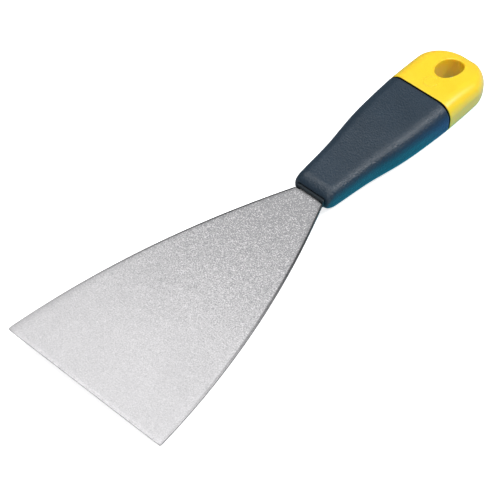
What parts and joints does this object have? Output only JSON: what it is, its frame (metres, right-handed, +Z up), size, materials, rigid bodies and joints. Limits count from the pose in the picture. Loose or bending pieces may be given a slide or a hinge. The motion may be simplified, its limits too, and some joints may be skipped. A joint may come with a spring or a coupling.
{
  "type": "flared filling knife",
  "caption": "Flared flexible steel filling and stripping knife with a soft dark grip and a bright moulded butt cap with a hang hole.",
  "frame": {"origin": "centre of the bounding box in X and Y, on its underside, which is the flat underside of the butt cap", "axes": "+X across the blade, +Y along the knife from the working edge to the butt, +Z up, square to the blade's faces"},
  "size_m": [0.08, 0.2314, 0.0168],
  "materials": {
    "blade_steel": "pale matt steel, finely grained",
    "core_plastic": "satin",
    "grip_rubber": "fine leathery grain",
    "cap_plastic": "satin gloss",
    "pin_steel": "drawn"
  },
  "bodies": {
    "root": {"blade": "blade_steel", "handle_core": "core_plastic", "soft_grip": "grip_rubber", "butt_cap": "cap_plastic", "tang_pin_front": "pin_steel", "tang_pin_rear": "pin_steel"}
  },
  "joints": []
}
